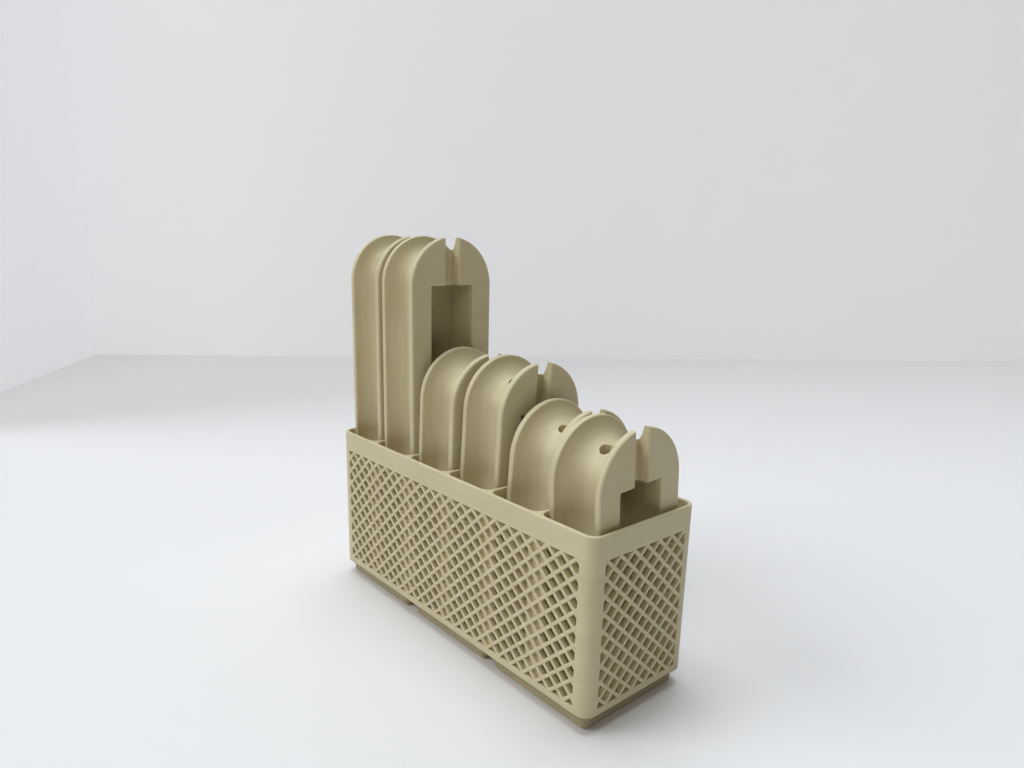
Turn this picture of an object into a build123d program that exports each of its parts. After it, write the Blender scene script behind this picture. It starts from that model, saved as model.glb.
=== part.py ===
# Desktop cable winder rack: a perforated basket on a 42 mm modular grid foot,
# divided into six compartments, each holding one lift-out cable winder.
# Units are millimetres, +Z is up, X runs along the basket.  The origin is the
# middle of the footprint, on the table.
import os
from math import sqrt

from build123d import *

# basket shell
basket_length = 125.5          # three 42 mm cells less 0.5 mm
basket_width = 41.5            # one 42 mm cell less 0.5 mm
basket_height = 55.3           # table to rim
corner_radius = 4.0
wall = 1.2
floor_top = 6.3
rim_edge_radius = 0.45

# feet
cell_pitch = 42.0
foot_size = 41.5
foot_height = 5.0
foot_lower_chamfer = 0.8
foot_upper_chamfer = 2.15

# dividers
compartments = 6
divider = 1.2
pocket_corner = corner_radius - wall       # radius in the compartment corners

# perforated panels
panel = 1.7                                # thickness, set in from the outer face
panel_top = 49.3                           # the rim band starts here
zone_bottom = 7.1
zone_top = 48.4
rows = 17                                  # half rows of holes in the zone
side_half_pitch = 2.649
side_zone = 57.75                          # half length of the hole zone
end_half_pitch = 2.589
end_zone = 16.1
hole_scale = 0.70                          # hole size against its lattice cell

# winders
winder_width = 31.4
winder_thick = 18.4
winder_foot_radius = 8.0
groove_radius = 7.1
groove_out = 0.5                           # groove centre beyond the flange edge
edge_round = 0.7               # round the front and back faces
groove_round = 0.5
slot_width = 5.2
slot_depth = 3.7
recess_width = 16.1
recess_depth = 12.6
recess_below_top = 15.4
recess_sill = 12.0
cable_hole = 4.0
cable_hole_x = -0.4
cable_hole_y = -2.9

# name, height over the compartment floor, shift of the foot from the compartment
# middle along X and along Y, lean in degrees towards +Y, and whether a cable hole
# runs from the groove into the recess; each winder stands within its play
winders = [
    ("winder_tall_1", 118.4, 0.1, -0.8, 0.0, False),
    ("winder_tall_2", 118.4, -0.2, -0.8, 0.0, False),
    ("winder_medium_1", 83.2, 0.2, -2.2, 2.0, True),
    ("winder_medium_2", 83.2, -0.2, -1.4, 3.0, True),
    ("winder_small_1", 73.0, 0.3, -1.3, 4.0, True),
    ("winder_small_2", 73.0, -0.4, 1.6, -3.5, True),
]

inner_length = basket_length - 2 * wall
inner_width = basket_width - 2 * wall
compartment = (inner_length - (compartments - 1) * divider) / compartments
compartment_x = [
    -inner_length / 2 + compartment / 2 + i * (compartment + divider)
    for i in range(compartments)
]
divider_x = [x + (compartment + divider) / 2 for x in compartment_x[:-1]]


def slab(length, width, radius, z0, z1):
    """Upright block with rounded corners between two heights."""
    outline = Plane.XY.offset(z0) * RectangleRounded(length, width, radius)
    return extrude(outline, z1 - z0)


def grid_foot(x):
    """One foot of the modular grid: chamfer, short wall, larger chamfer."""
    steps = [
        (0.0, foot_upper_chamfer + foot_lower_chamfer),
        (foot_lower_chamfer, foot_upper_chamfer),
        (foot_height - foot_upper_chamfer, foot_upper_chamfer),
        (foot_height, 0.0),
    ]
    sections = [
        Plane((x, 0, z)) * RectangleRounded(
            foot_size - 2 * inset, foot_size - 2 * inset, corner_radius - inset)
        for z, inset in steps
    ]
    return loft(sections, ruled=True)


def basket_floor():
    """Closed plate over the feet, also the plain band under the panels."""
    return slab(basket_length, basket_width, corner_radius, foot_height, floor_top)


def rim_band():
    """Plain band round the top of the basket, outer edge eased."""
    outer = slab(basket_length, basket_width, corner_radius, panel_top, basket_height)
    outer = fillet(outer.edges().group_by(Axis.Z)[-1], rim_edge_radius)
    return outer - slab(inner_length, inner_width, pocket_corner, panel_top, basket_height)


def corner_post(sx, sy):
    """Plain rounded corner between two perforated panels."""
    centre = ((basket_length / 2 - corner_radius) * sx,
              (basket_width / 2 - corner_radius) * sy)
    ring = Circle(corner_radius) - Circle(pocket_corner)
    quarter = ring & (Pos(sx * corner_radius / 2, sy * corner_radius / 2)
                      * Rectangle(corner_radius, corner_radius))
    post = Plane((centre[0], centre[1], floor_top)) * quarter
    return extrude(post, panel_top - floor_top)


def clipped_diamond(cx, cz, half_x, half_z, limit_x):
    """Corner points of one diamond hole, cut off at the edges of the zone."""
    points = [(cx + half_x, cz), (cx, cz + half_z), (cx - half_x, cz), (cx, cz - half_z)]
    edges = [(0, -limit_x, 1), (0, limit_x, -1), (1, zone_bottom, 1), (1, zone_top, -1)]
    for axis, limit, side in edges:
        kept = []
        for a, b in zip(points, points[1:] + points[:1]):
            da, db = side * (a[axis] - limit), side * (b[axis] - limit)
            if da >= 0:
                kept.append(a)
            if da * db < 0:
                t = da / (da - db)
                kept.append((a[0] + t * (b[0] - a[0]), a[1] + t * (b[1] - a[1])))
        points = kept
    return points


def perforated_panel(plane, half_length, half_pitch, limit_x, odd):
    """Flat wall with staggered diamond holes; odd sets which columns start on
    the bottom edge of the zone."""
    half_row = (zone_top - zone_bottom) / rows
    half_x, half_z = hole_scale * half_pitch, hole_scale * half_row
    columns = int(limit_x / half_pitch + 1)
    holes = []
    for i in range(-columns, columns + (1 if odd else 2)):
        cx = i * half_pitch if odd else (i - 0.5) * half_pitch
        if abs(cx) - half_x > limit_x - 0.6:
            continue
        for j in range(rows + 1):
            if (i + j) % 2 == 1:
                continue
            points = clipped_diamond(cx, zone_bottom + j * half_row, half_x, half_z, limit_x)
            holes.append(Wire.make_polygon([Vector(x, z) for x, z in points], close=True))
    border = Wire.make_polygon([
        Vector(-half_length, floor_top), Vector(half_length, floor_top),
        Vector(half_length, panel_top), Vector(-half_length, panel_top)], close=True)
    return extrude(plane * Face(border, holes), panel)


def divider_wall(x):
    """Cross wall with the rounded compartment corners at both ends, notched
    where the thicker panels pass it."""
    height = basket_height - floor_top
    blank = Pos(x, 0) * Rectangle(divider + 2 * pocket_corner, inner_width)
    for side in (-1, 1):
        blank -= (Pos(x + side * (compartment + divider) / 2, 0)
                  * RectangleRounded(compartment, inner_width, pocket_corner))
    cross = extrude(Plane.XY.offset(floor_top) * blank, height)
    for side in (-1, 1):
        inner_face = side * (basket_width / 2 - panel)
        beyond = (Align.CENTER, Align.MIN if side > 0 else Align.MAX, Align.MIN)
        cross -= Pos(x, inner_face, floor_top) * Box(
            compartment, panel, panel_top - floor_top, align=beyond)
    return cross


def winder_outline(height, inset=0.0):
    """Side view of a winder: round top, flat foot with rounded corners."""
    half = winder_width / 2 - inset
    foot = winder_foot_radius - inset
    low, top = inset, height - winder_width / 2
    return Wire([
        Line((half, low + foot), (half, top)),
        CenterArc((0, top), half, 0, 180),
        Line((-half, top), (-half, low + foot)),
        CenterArc((-half + foot, low + foot), foot, 180, 90),
        Line((-half + foot, low), (half - foot, low)),
        CenterArc((half - foot, low + foot), foot, 270, 90),
    ])


def winder(height, has_hole):
    """One cable winder, standing on z = 0, front face towards +X."""
    side = Plane(origin=(0, 0, 0), x_dir=(0, 1, 0), z_dir=(1, 0, 0))
    front = winder_thick / 2
    body = extrude(side * Face(winder_outline(height)), front, both=True)

    track = side * winder_outline(height, -groove_out)
    start = track.position_at(0)
    profile = Plane(origin=start, z_dir=track.tangent_at(0)) * Circle(groove_radius)
    body -= sweep(profile, path=track)
    lip = sqrt(groove_radius ** 2 - groove_out ** 2)
    for x in (-lip, lip):
        body = fillet(body.edges().filter_by_position(Axis.X, x - 0.01, x + 0.01), groove_round)

    recess_top = height - recess_below_top
    recess = Box(recess_depth, recess_width, recess_top - recess_sill,
                 align=(Align.MAX, Align.CENTER, Align.MIN))
    body -= Pos(front, 0, recess_sill) * recess

    slot = Box(slot_depth, slot_width, height, align=(Align.MAX, Align.CENTER, Align.MIN))
    body -= Pos(front, 0, recess_top - 1) * slot

    if has_hole:
        drill = extrude(Plane.XY.offset(recess_top - 1) * (
            Pos(cable_hole_x, cable_hole_y) * Circle(cable_hole / 2)), height)
        body -= drill
    for face in (-front, front):
        body = fillet(body.edges().filter_by_position(Axis.X, face - 0.01, face + 0.01), edge_round)
    return body


def leaning(body, lean):
    """Tips a winder over the rounded corner of its foot, which stays on the floor."""
    side = 1 if lean > 0 else -1
    corner = Pos(0, side * (winder_width / 2 - winder_foot_radius), winder_foot_radius)
    return corner * Rot(-lean, 0, 0) * corner.inverse() * body


pieces = {
    "basket_floor": basket_floor(),
    "basket_rim": rim_band(),
}
for name, x in (("foot_left", -cell_pitch), ("foot_middle", 0.0), ("foot_right", cell_pitch)):
    pieces[name] = grid_foot(x)
for name, sx, sy in (("post_front_left", -1, -1), ("post_front_right", 1, -1),
                     ("post_back_left", -1, 1), ("post_back_right", 1, 1)):
    pieces[name] = corner_post(sx, sy)

half_side = basket_length / 2 - corner_radius
half_end = basket_width / 2 - corner_radius
outer_y = basket_width / 2
outer_x = basket_length / 2
front_plane = Plane(origin=(0, -outer_y + panel, 0), x_dir=(1, 0, 0), z_dir=(0, -1, 0))
back_plane = Plane(origin=(0, outer_y - panel, 0), x_dir=(-1, 0, 0), z_dir=(0, 1, 0))
right_plane = Plane(origin=(outer_x - panel, 0, 0), x_dir=(0, 1, 0), z_dir=(1, 0, 0))
left_plane = Plane(origin=(-outer_x + panel, 0, 0), x_dir=(0, -1, 0), z_dir=(-1, 0, 0))
pieces["panel_front"] = perforated_panel(
    front_plane, half_side, side_half_pitch, side_zone, False)
pieces["panel_back"] = perforated_panel(
    back_plane, half_side, side_half_pitch, side_zone, False)
pieces["panel_right"] = perforated_panel(
    right_plane, half_end, end_half_pitch, end_zone, True)
pieces["panel_left"] = perforated_panel(
    left_plane, half_end, end_half_pitch, end_zone, True)
for i, x in enumerate(divider_x):
    pieces[f"divider_{i + 1}"] = divider_wall(x)
for x, (name, height, shift_x, shift_y, lean, has_hole) in zip(compartment_x, winders):
    pieces[name] = Pos(x + shift_x, shift_y, floor_top) * leaning(winder(height, has_hole), lean)

os.makedirs("parts", exist_ok=True)
for name, piece in pieces.items():
    piece.label = name
    export_step(piece, f"parts/{name}.step")
    box = piece.bounding_box()
    print(f"{name:18s} volume {piece.volume:10.1f}  x {box.min.X:8.2f} {box.max.X:8.2f}"
          f"  y {box.min.Y:7.2f} {box.max.Y:7.2f}  z {box.min.Z:7.2f} {box.max.Z:7.2f}")
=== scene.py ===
"""Desktop cable winder rack: a perforated basket on modular grid feet, holding six cable winders.

Everything is in metres in the frame of the CAD part: X along the basket, +Z up, origin on the table.
"""
from math import cos, hypot, pi, radians, sin

import bmesh
import bpy
from mathutils import Matrix, Vector


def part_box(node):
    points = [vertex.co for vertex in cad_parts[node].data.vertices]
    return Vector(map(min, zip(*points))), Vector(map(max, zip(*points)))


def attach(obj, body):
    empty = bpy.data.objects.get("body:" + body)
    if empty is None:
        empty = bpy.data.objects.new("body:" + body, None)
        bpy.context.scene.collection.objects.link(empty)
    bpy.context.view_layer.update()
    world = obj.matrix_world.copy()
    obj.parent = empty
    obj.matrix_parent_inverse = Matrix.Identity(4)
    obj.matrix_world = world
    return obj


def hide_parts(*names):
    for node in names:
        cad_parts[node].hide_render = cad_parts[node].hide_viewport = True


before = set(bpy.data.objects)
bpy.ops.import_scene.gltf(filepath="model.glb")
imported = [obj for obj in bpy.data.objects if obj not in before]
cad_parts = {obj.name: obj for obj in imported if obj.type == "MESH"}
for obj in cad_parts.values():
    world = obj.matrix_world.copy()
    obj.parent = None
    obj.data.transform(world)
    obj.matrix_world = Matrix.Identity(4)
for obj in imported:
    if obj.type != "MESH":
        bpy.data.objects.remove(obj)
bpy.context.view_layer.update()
collection = bpy.context.scene.collection


# ---------------------------------------------------------------------------------------------
# Basket filament.  The whole basket is one print in matt beige PLA, standing upright, so its
# layers lie level.  They show as faint level streaks and a very fine ribbing.
class Wire:
    """One socket of a node tree; plain sums on it add the Math nodes."""

    def __init__(self, bench, socket):
        self.bench = bench
        self.socket = socket

    def maths(self, operation, first, second):
        return self.bench.node("ShaderNodeMath", {"operation": operation}, {0: first, 1: second})

    def __add__(self, other):
        return self.maths("ADD", self, other)

    def __radd__(self, other):
        return self.maths("ADD", other, self)

    def __sub__(self, other):
        return self.maths("SUBTRACT", self, other)

    def __rsub__(self, other):
        return self.maths("SUBTRACT", other, self)

    def __mul__(self, other):
        return self.maths("MULTIPLY", self, other)

    def __rmul__(self, other):
        return self.maths("MULTIPLY", other, self)

    def __truediv__(self, other):
        return self.maths("DIVIDE", self, other)


class Bench:
    """Where the nodes of one material or one geometry tree are put together."""

    def __init__(self, tree):
        self.tree = tree

    def node(self, kind, settings=None, sockets=None, output=0):
        """A new node: its settings first, then the values or links of its sockets."""
        made = self.tree.nodes.new(kind)
        for name, value in (settings or {}).items():
            setattr(made, name, value)
        for name, value in (sockets or {}).items():
            if isinstance(value, Wire):
                self.tree.links.new(value.socket, made.inputs[name])
            else:
                made.inputs[name].default_value = value
        return Wire(self, made.outputs[output]) if made.outputs else made


def printed_plastic(name, layer_axis, light, dark):
    """Matt printed plastic whose layers are stacked along layer_axis (0, 1 or 2)."""
    layer_pitch = 0.0002
    material = bpy.data.materials.new(name)
    material.use_nodes = True
    material.node_tree.nodes.clear()
    bench = Bench(material.node_tree)
    place = bench.node("ShaderNodeTexCoord", output="Object")

    def stretched_noise(across, along, detail):
        """Noise that changes fast from layer to layer and slowly within a layer."""
        scale = [along, along, along]
        scale[layer_axis] = across
        mapped = bench.node("ShaderNodeMapping", sockets={"Vector": place, "Scale": scale})
        return bench.node("ShaderNodeTexNoise", sockets={
            "Vector": mapped, "Scale": 1.0, "Detail": detail, "Roughness": 0.6})

    streaks = stretched_noise(1100.0, 45.0, 3.0)
    bands = stretched_noise(260.0, 18.0, 2.0)
    clouds = bench.node("ShaderNodeTexNoise", sockets={
        "Vector": place, "Scale": 70.0, "Detail": 3.0, "Roughness": 0.5})
    grain = bench.node("ShaderNodeTexNoise", sockets={
        "Vector": place, "Scale": 2600.0, "Detail": 2.0, "Roughness": 0.6})

    shade = streaks * 0.45 + bands * 0.3 + clouds * 0.25
    colour = bench.node("ShaderNodeMix", {"data_type": "RGBA"}, {
        0: bench.node("ShaderNodeMapRange", sockets={
            "Value": shade, "From Min": 0.32, "From Max": 0.68, "To Min": 0.0, "To Max": 1.0}),
        6: (*dark, 1.0), 7: (*light, 1.0)}, output=2)

    across = bench.node("ShaderNodeSeparateXYZ", sockets={0: place}, output=layer_axis)
    ribs = bench.node("ShaderNodeMath", {"operation": "SINE"}, {0: across * (2 * pi / layer_pitch)})
    height = ribs * 0.25 + streaks * 0.5 + grain * 0.3
    bump = bench.node("ShaderNodeBump", sockets={
        "Strength": 0.55, "Distance": 0.00005, "Height": height})

    shader = bench.node("ShaderNodeBsdfPrincipled", sockets={
        "Base Color": colour,
        "Roughness": 0.40 + 0.14 * streaks,
        "IOR": 1.5,
        "Normal": bump})
    bench.node("ShaderNodeOutputMaterial", sockets={"Surface": shader})
    return material


basket_plastic = printed_plastic(
    "basket_plastic", 2, (0.64, 0.565, 0.365), (0.56, 0.475, 0.28))


# ---------------------------------------------------------------------------------------------
# Feet.  Three solid feet of the modular grid under the floor, printed with it.  They keep the
# mesh of the part.  Their colour is set darker than the walls' as painted shade, for the deep shade
# under the basket.
def dress(node, material):
    """Gives a node of the part its finish."""
    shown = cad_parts[node]
    shown.data.materials.clear()
    shown.data.materials.append(material)


# painted shade: the feet's colours are darker than the walls' to stand in for the shade they sit in
foot_painted_shade = printed_plastic(
    "foot_painted_shade", 2, (0.40, 0.335, 0.19), (0.31, 0.25, 0.135))

for foot in ("foot_left", "foot_middle", "foot_right"):
    dress(foot, foot_painted_shade)


# ---------------------------------------------------------------------------------------------
# Basket wall.  The floor plate and the four walls up to the rim band, one closed print with a
# window in each side where the diamond lattice goes; every window edge is softly rounded.
wall, lattice_thickness = 0.0012, 0.0017
corner_radius = 0.004
arc_steps = 20
floor_low, floor_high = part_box("basket_floor")
rim_low, rim_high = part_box("basket_rim")
length, width = 2 * floor_high.x, 2 * floor_high.y
zone_bottom, zone_top = 0.0071, 0.0484
side_zone, end_zone = 0.05775, 0.0161
hole_edge_round = 0.00026


def rounded_loop(long, wide, radius, z, stops=None, centre=0.0):
    """Points anticlockwise round a rounded rectangle; stops adds a point near each end of
    every straight, at that distance from the middle along X and along Y."""
    points = []
    for quarter, (sx, sy) in enumerate(((1, 1), (-1, 1), (-1, -1), (1, -1))):
        mid_x, mid_y = sx * (long / 2 - radius), sy * (wide / 2 - radius)
        for step in range(arc_steps + 1):
            angle = (quarter + step / arc_steps) * pi / 2
            points.append((centre + mid_x + radius * cos(angle), mid_y + radius * sin(angle), z))
        if stops and quarter % 2 == 0:
            points += [(centre + sx * stops[0], sy * wide / 2, z),
                       (centre - sx * stops[0], sy * wide / 2, z)]
        elif stops:
            points += [(centre + sx * long / 2, sy * stops[1], z),
                       (centre + sx * long / 2, -sy * stops[1], z)]
    return points


def band(mesh, low, high, skip=()):
    """Joins two rings of vertices by quads facing outwards when both run anticlockwise."""
    count = len(low)
    for i in range(count):
        if i not in skip:
            j = (i + 1) % count
            mesh.faces.new((low[i], low[j], high[j], high[i]))


def finished_piece(name, mesh, material, smooth_angle=35.0):
    """Turns a bmesh into a named object with its finish, smooth where it is round."""
    data = bpy.data.meshes.new(name)
    mesh.normal_update()
    mesh.to_mesh(data)
    mesh.free()
    data.shade_smooth()
    data.set_sharp_from_angle(angle=radians(smooth_angle))
    data.materials.append(material)
    piece = bpy.data.objects.new(name, data)
    collection.objects.link(piece)
    return piece


def ease_marked_edges(piece, radius, steps=3):
    """Rounds the edges that carry a bevel weight and keeps the flat faces flat."""
    bevel = piece.modifiers.new("ease", "BEVEL")
    bevel.limit_method = "WEIGHT"
    bevel.width = radius
    bevel.segments = steps
    weigh = piece.modifiers.new("flats", "WEIGHTED_NORMAL")
    weigh.keep_sharp = True


def basket_wall():
    mesh = bmesh.new()
    weight = mesh.edges.layers.float.new("bevel_weight_edge")
    stops = (side_zone, end_zone)
    outer, inner = [], []
    for z in (floor_low.z, zone_bottom, zone_top, rim_low.z):
        ring = rounded_loop(length, width, corner_radius, z, stops)
        outer.append([mesh.verts.new(p) for p in ring])
    for z in (floor_high.z, zone_bottom, zone_top, rim_low.z):
        ring = rounded_loop(length - 2 * lattice_thickness, width - 2 * lattice_thickness,
                            corner_radius - lattice_thickness, z, stops)
        inner.append([mesh.verts.new(p) for p in ring])
    per_side = arc_steps + 3
    windows = [side * per_side + arc_steps + 1 for side in range(4)]
    for level in range(3):
        skip = windows if level == 1 else ()
        band(mesh, outer[level], outer[level + 1], skip)
        band(mesh, inner[level][::-1], inner[level + 1][::-1],
             [len(inner[0]) - 2 - i for i in skip])
    band(mesh, outer[3], inner[3])
    mesh.faces.new(outer[0][::-1])
    mesh.faces.new(inner[0])
    for a, b in zip(outer[0], outer[0][1:] + outer[0][:1]):
        mesh.edges.get((a, b))[weight] = 1.0
    for i in windows:
        corners = [(1, i), (1, i + 1), (2, i + 1), (2, i)]
        for (level_a, a), (level_b, b) in zip(corners, corners[1:] + corners[:1]):
            mesh.faces.new((outer[level_b][b], outer[level_a][a],
                            inner[level_a][a], inner[level_b][b]))
            for ring in (outer, inner):
                mesh.edges.get((ring[level_a][a], ring[level_b][b]))[weight] = 1.0
    bmesh.ops.recalc_face_normals(mesh, faces=mesh.faces)
    piece = finished_piece("basket_wall", mesh, basket_plastic)
    ease_marked_edges(piece, hole_edge_round)
    return piece


walls = basket_wall()
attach(walls, "basket")
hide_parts("basket_floor", "post_front_left", "post_front_right",
            "post_back_left", "post_back_right")


# ---------------------------------------------------------------------------------------------
# Rim band.  The plain top of the basket with the tops of the five dividers in it, so it is one
# flat frame round six pockets; all its upper edges are rounded over.
divider = 0.0012
dividers = [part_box(f"divider_{i}") for i in range(1, 6)]
divider_x = [(low.x + high.x) / 2 for low, high in dividers]
pocket_pitch = divider_x[1] - divider_x[0]
pocket_x = [divider_x[0] - pocket_pitch / 2 + i * pocket_pitch for i in range(6)]
pocket_length = pocket_pitch - divider
pocket_radius = corner_radius - wall
rim_outer_round, rim_inner_round = 0.00045, 0.0004
rim_round_steps = 5


def rim_band():
    mesh = bmesh.new()
    top_edges = []
    outlines = [(length, width, corner_radius, 0.0, -rim_outer_round)]
    outlines += [(pocket_length, width - 2 * wall, pocket_radius, x, rim_inner_round)
                 for x in pocket_x]
    for long, wide, radius, centre, grow in outlines:
        rings = [rounded_loop(long, wide, radius, rim_low.z, centre=centre)]
        for step in range(rim_round_steps + 1):
            angle = step / rim_round_steps * pi / 2
            out = grow * (1 - cos(angle))
            z = rim_high.z - abs(grow) * (1 - sin(angle))
            rings.append(rounded_loop(long + 2 * out, wide + 2 * out, radius + out, z, centre=centre))
        rings = [[mesh.verts.new(p) for p in ring] for ring in rings]
        for low, high in zip(rings, rings[1:]):
            if grow < 0:
                band(mesh, low, high)
            else:
                band(mesh, low[::-1], high[::-1])
        top_edges += [mesh.edges.get((a, b)) for a, b in zip(rings[-1], rings[-1][1:] + rings[-1][:1])]
    filled = bmesh.ops.triangle_fill(mesh, use_beauty=True, edges=top_edges, normal=(0, 0, 1))
    for face in (f for f in filled["geom"] if isinstance(f, bmesh.types.BMFace)):
        face.normal_update()
        if face.normal.z < 0:
            face.normal_flip()
    piece = finished_piece("basket_rim_band", mesh, basket_plastic, 40.0)
    weigh = piece.modifiers.new("flats", "WEIGHTED_NORMAL")
    weigh.keep_sharp = True
    return piece


rim = rim_band()
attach(rim, "basket")
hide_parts("basket_rim")


# ---------------------------------------------------------------------------------------------
# Dividers.  Five thin cross walls below the rim band, each swelling at both ends into the
# rounded corners of the pockets beside it.
def divider_walls():
    mesh = bmesh.new()
    flat_end = width / 2 - wall - pocket_radius
    for x in divider_x:
        outline = []
        for quarter, (sx, sy) in enumerate(((1, 1), (-1, 1), (-1, -1), (1, -1))):
            mid_x = x + sx * (divider / 2 + pocket_radius)
            turn = [sx * pocket_radius * cos(step / arc_steps * pi / 2) for step in range(arc_steps + 1)]
            rise = [sy * pocket_radius * sin(step / arc_steps * pi / 2) for step in range(arc_steps + 1)]
            arc = [(mid_x - a, sy * flat_end + b) for a, b in zip(turn, rise)]
            outline += arc if quarter % 2 == 0 else arc[::-1]
        low = [mesh.verts.new((a, b, floor_high.z)) for a, b in outline]
        high = [mesh.verts.new((a, b, rim_low.z)) for a, b in outline]
        band(mesh, low, high)
        mesh.faces.new(low[::-1])
        mesh.faces.new(high)
    bmesh.ops.recalc_face_normals(mesh, faces=mesh.faces)
    return finished_piece("basket_dividers", mesh, basket_plastic)


cross_walls = divider_walls()
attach(cross_walls, "basket")
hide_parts(*(f"divider_{i}" for i in range(1, 6)))


# ---------------------------------------------------------------------------------------------
# Diamond lattice.  Each window is crossed by two sets of slanted bars with rounded edges, which
# leave staggered diamond holes, half holes along the top and bottom and cut ones at the ends.
rows = 17
side_half_pitch, end_half_pitch = 0.002649, 0.002589
hole_scale = 0.70
half_row = (zone_top - zone_bottom) / rows


def lattice_tree():
    """Geometry tree: slanted bars clipped to a window, stood up as one side of the basket."""
    tree = bpy.data.node_groups.new("diamond_lattice", "GeometryNodeTree")
    tree.is_modifier = True
    sockets = [("Bars each way", "NodeSocketInt"), ("First bar", "NodeSocketFloat"),
               ("Half pitch", "NodeSocketFloat"), ("Half window", "NodeSocketFloat"),
               ("Window bottom", "NodeSocketFloat"), ("Window height", "NodeSocketFloat"),
               ("Rows", "NodeSocketFloat"), ("Bar width", "NodeSocketFloat"),
               ("Bar depth", "NodeSocketFloat"), ("Edge round", "NodeSocketFloat"),
               ("Tuck in", "NodeSocketFloat"), ("Turn", "NodeSocketFloat"),
               ("Middle of wall", "NodeSocketVector"), ("Finish", "NodeSocketMaterial")]
    for label, kind in sockets:
        tree.interface.new_socket(label, in_out="INPUT", socket_type=kind)
    tree.interface.new_socket("Lattice", in_out="OUTPUT", socket_type="NodeSocketGeometry")
    bench = Bench(tree)
    given = tree.nodes.new("NodeGroupInput")
    size = {label: Wire(bench, given.outputs[label]) for label, _ in sockets}

    index = bench.node("GeometryNodeInputIndex")
    other_way = bench.node("ShaderNodeMath", {"operation": "GREATER_THAN"}, {
        0: index, 1: size["Bars each way"] - 0.5})
    way = 1.0 - 2.0 * other_way
    foot = size["First bar"] + 2.0 * size["Half pitch"] * (index - other_way * size["Bars each way"])
    run = way * size["Rows"] * size["Half pitch"]
    one_end = (-1.0 * size["Half window"] - foot) / run
    far_end = (size["Half window"] - foot) / run

    def within_window(operation):
        share = bench.node("ShaderNodeMath", {"operation": operation}, {0: one_end, 1: far_end})
        return bench.node("ShaderNodeClamp", sockets={"Value": share, "Min": 0.0, "Max": 1.0})

    start, end = within_window("MINIMUM"), within_window("MAXIMUM")
    full = bench.node("ShaderNodeVectorMath", {"operation": "LENGTH"}, {
        0: bench.node("ShaderNodeCombineXYZ", sockets={"X": run, "Y": size["Window height"]})},
        output="Value")
    tuck = size["Tuck in"] / full
    start_x = foot + run * (start - tuck)
    start_y = size["Window bottom"] + size["Window height"] * (start - tuck)
    slope = bench.node("ShaderNodeMath", {"operation": "ARCTAN2"}, {0: size["Window height"], 1: run})

    spots = bench.node("GeometryNodeMeshLine", sockets={"Count": size["Bars each way"] * 2.0})
    placed = bench.node("GeometryNodeSetPosition", sockets={
        "Geometry": spots,
        "Position": bench.node("ShaderNodeCombineXYZ", sockets={"X": start_x, "Y": start_y})})
    profile = bench.node("GeometryNodeFilletCurve", sockets={
        "Curve": bench.node("GeometryNodeCurvePrimitiveQuadrilateral", sockets={
            "Width": size["Bar width"], "Height": size["Bar depth"]}),
        "Radius": size["Edge round"]})
    profile.socket.node.mode = "POLY"
    profile.socket.node.inputs["Count"].default_value = 3
    bar = bench.node("GeometryNodeCurveToMesh", sockets={
        "Curve": bench.node("GeometryNodeCurvePrimitiveLine", sockets={
            "Start": (0.0, 0.0, 0.0), "End": (1.0, 0.0, 0.0)}),
        "Profile Curve": profile, "Fill Caps": True})
    # the two sets are a hair thinner than the wall, by different amounts, so no faces coincide
    depth = 0.99 - 0.01 * other_way
    bars = bench.node("GeometryNodeInstanceOnPoints", sockets={
        "Points": placed,
        "Selection": bench.node("ShaderNodeMath", {"operation": "GREATER_THAN"}, {
            0: end - start, 1: 0.002}),
        "Instance": bar,
        "Rotation": bench.node("ShaderNodeCombineXYZ", sockets={"Z": slope}),
        "Scale": bench.node("ShaderNodeCombineXYZ", sockets={
            "X": full * (end - start + 2.0 * tuck), "Y": 1.0, "Z": depth})})
    upright = bench.node("GeometryNodeTransform", sockets={
        "Geometry": bench.node("GeometryNodeRealizeInstances", sockets={"Geometry": bars}),
        "Translation": size["Middle of wall"],
        "Rotation": bench.node("ShaderNodeCombineXYZ", sockets={"X": pi / 2, "Z": size["Turn"]})})
    dressed = bench.node("GeometryNodeSetMaterial", sockets={
        "Geometry": upright, "Material": size["Finish"]})
    bench.node("NodeGroupOutput", sockets={"Lattice": dressed})
    return tree


def grown_mesh(name, tree, sizes):
    """Runs a geometry tree once with these sizes and keeps the result as a plain mesh piece."""
    seed = bpy.data.objects.new(name + "_seed", bpy.data.meshes.new(name + "_seed"))
    collection.objects.link(seed)
    modifier = seed.modifiers.new("grow", "NODES")
    modifier.node_group = tree
    for item in tree.interface.items_tree:
        if item.in_out == "INPUT":
            modifier[item.identifier] = sizes[item.name]
    grown = seed.evaluated_get(bpy.context.evaluated_depsgraph_get())
    data = bpy.data.meshes.new_from_object(grown)
    bpy.data.objects.remove(seed)
    data.name = name
    piece = bpy.data.objects.new(name, data)
    collection.objects.link(piece)
    return piece


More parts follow.
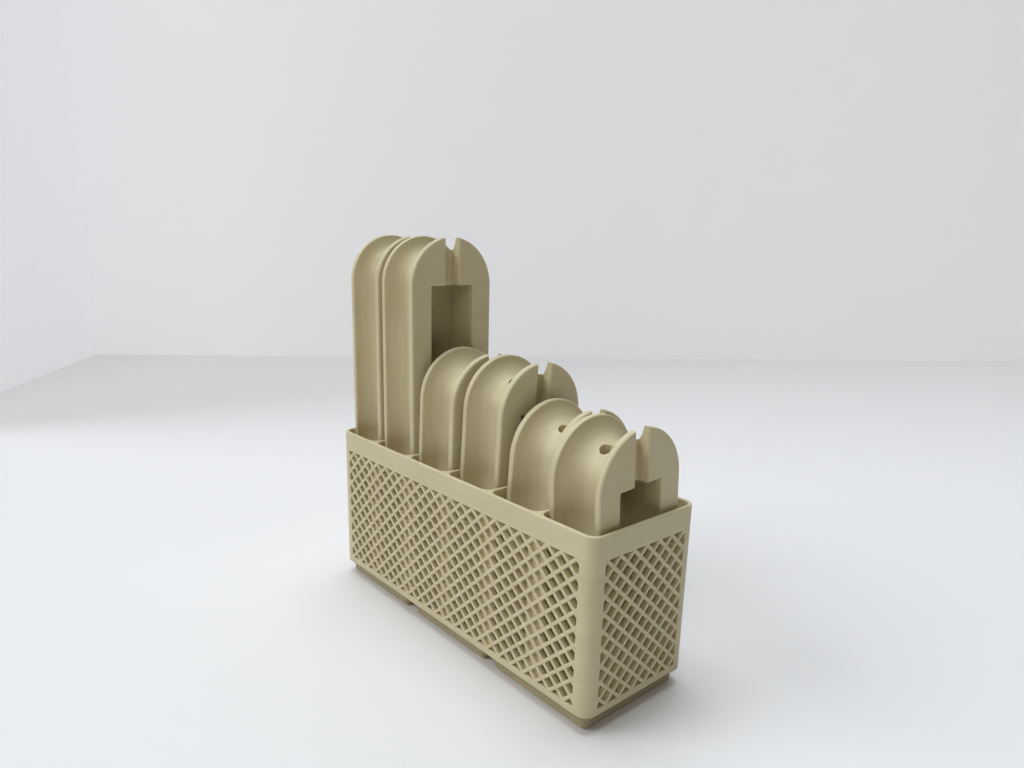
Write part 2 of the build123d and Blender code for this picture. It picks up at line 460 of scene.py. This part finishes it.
lattice = lattice_tree()
sides = [("front", 0, side_half_pitch, side_zone, 0.5), ("right", 1, end_half_pitch, end_zone, 0.0),
         ("back", 2, side_half_pitch, side_zone, 0.5), ("left", 3, end_half_pitch, end_zone, 0.0)]
for side, quarter_turns, half_pitch, half_window, offset in sides:
    turn = quarter_turns * pi / 2
    reach = (width if quarter_turns % 2 == 0 else length) / 2 - lattice_thickness / 2
    bar_width = 2 * (1 - hole_scale) * half_pitch * half_row / hypot(half_pitch, half_row)
    first = -2 * (int((half_window + rows * half_pitch) / (2 * half_pitch)) + 1) + 1
    grid = grown_mesh("lattice_" + side, lattice, {
        "Bars each way": 2 * abs(first) + 2,
        "First bar": (first - offset) * half_pitch,
        "Half pitch": half_pitch,
        "Half window": half_window,
        "Window bottom": zone_bottom,
        "Window height": zone_top - zone_bottom,
        "Rows": float(rows),
        "Bar width": bar_width,
        "Bar depth": lattice_thickness,
        "Edge round": hole_edge_round,
        "Tuck in": 0.0004,
        "Turn": turn,
        "Middle of wall": (reach * sin(turn), -reach * cos(turn), 0.0),
        "Finish": basket_plastic})
    grid.data.shade_smooth()
    grid.data.set_sharp_from_angle(angle=radians(40))
    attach(grid, "basket")
    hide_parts("panel_" + side)


# ---------------------------------------------------------------------------------------------
# Cable winders.  Six loose round-topped bobbins in the same filament, each printed lying on its
# back, so their layers are stacked along X and show as fine upright lines in the groove.
winder_plastic = printed_plastic(
    "winder_plastic", 0, (0.64, 0.57, 0.37), (0.53, 0.445, 0.25))

for winder in ("winder_tall_1", "winder_tall_2", "winder_medium_1",
               "winder_medium_2", "winder_small_1", "winder_small_2"):
    dress(winder, winder_plastic)


# ---------------------------------------------------------------------------------------------
# Studio.  A pale matt table that meets two faintly glowing pale walls far behind, lit by three
# broad soft lamps, from the left front, the right front and overhead, and a very faint sky.
def studio_sheet(name, corners, colour, glow):
    data = bpy.data.meshes.new(name)
    data.from_pydata(corners, [], [tuple(range(len(corners)))])
    material = bpy.data.materials.new(name)
    material.use_nodes = True
    bench = Bench(material.node_tree)
    cloud = bench.node("ShaderNodeTexNoise", sockets={
        "Vector": bench.node("ShaderNodeTexCoord", output="Object"), "Scale": 3.0, "Detail": 2.0})
    tone = bench.node("ShaderNodeMix", {"data_type": "RGBA"}, {
        0: cloud, 6: (*[c * 0.985 for c in colour], 1.0), 7: (*colour, 1.0)}, output=2)
    shader = material.node_tree.nodes["Principled BSDF"]
    material.node_tree.links.new(tone.socket, shader.inputs["Base Color"])
    shader.inputs["Roughness"].default_value = 0.6
    shader.inputs["Emission Color"].default_value = (*colour, 1.0)
    shader.inputs["Emission Strength"].default_value = glow
    data.materials.append(material)
    sheet = bpy.data.objects.new(name, data)
    collection.objects.link(sheet)
    return sheet


pale, table_tone = (0.79, 0.79, 0.80), (0.775, 0.75, 0.735)
room_corner = Vector((-0.642, 0.016, 0.0))
along_back = Vector((0.573, 0.820, 0.0))
along_left = Vector((0.838, -0.546, 0.0))
wall_height = Vector((0.0, 0.0, 1.6))
back_end = room_corner + 3.0 * along_back
left_end = room_corner + 0.3 * along_left
studio_sheet("table_top", [(-3, -3, 0), (3, -3, 0), (3, 3, 0), (-3, 3, 0)], table_tone, 0.0)
studio_sheet("back_wall", [
    room_corner, back_end, back_end + wall_height, room_corner + wall_height], pale, 0.33)
studio_sheet("left_wall", [
    left_end, room_corner, room_corner + wall_height, left_end + wall_height], pale, 0.33)

world = bpy.data.worlds.new("soft_sky")
world.use_nodes = True
world.node_tree.nodes["Background"].inputs["Color"].default_value = (0.97, 0.98, 1.0, 1.0)
world.node_tree.nodes["Background"].inputs["Strength"].default_value = 0.03
bpy.context.scene.world = world


def soft_lamp(name, place, target, size, power, colour):
    light = bpy.data.lights.new(name, "AREA")
    light.shape = "DISK"
    light.size = size
    light.energy = power
    light.color = colour
    lamp = bpy.data.objects.new(name, light)
    lamp.location = place
    lamp.rotation_mode = "QUATERNION"
    lamp.rotation_quaternion = (Vector(target) - Vector(place)).to_track_quat("-Z", "Y")
    collection.objects.link(lamp)


soft_lamp("window_light", (-1.3, -2.1, 1.9), (0, 0, 0.05), 1.8, 46.0, (0.90, 0.95, 1.0))
soft_lamp("fill_light", (1.6, -1.8, 1.8), (0, 0, 0.05), 1.8, 15.0, (1.0, 0.92, 0.82))
soft_lamp("overhead_light", (-0.4, 0.1, 2.6), (0, 0, 0.05), 2.0, 62.0, (0.83, 0.92, 1.0))


# ---------------------------------------------------------------------------------------------
# Camera.  Looks down on the near right corner of the basket, turned a little off level.
heading, dip, tilt = radians(48.82), radians(13.79), radians(1.45)
forward = Vector((-sin(heading) * cos(dip), cos(heading) * cos(dip), -sin(dip)))
level_right = forward.cross(Vector((0, 0, 1))).normalized()
level_up = level_right.cross(forward)
right = cos(tilt) * level_right + sin(tilt) * level_up
up = cos(tilt) * level_up - sin(tilt) * level_right
lens = bpy.data.cameras.new("camera")
lens.lens = 25.53
lens.shift_y = 0.029
lens.clip_start = 0.01
camera = bpy.data.objects.new("camera", lens)
camera.matrix_world = Matrix.Translation((0.17067, -0.14258, 0.12557)) @ Matrix(
    (right, up, -forward)).transposed().to_4x4()
collection.objects.link(camera)
bpy.context.scene.camera = camera
bpy.context.scene.view_settings.view_transform = "Standard"
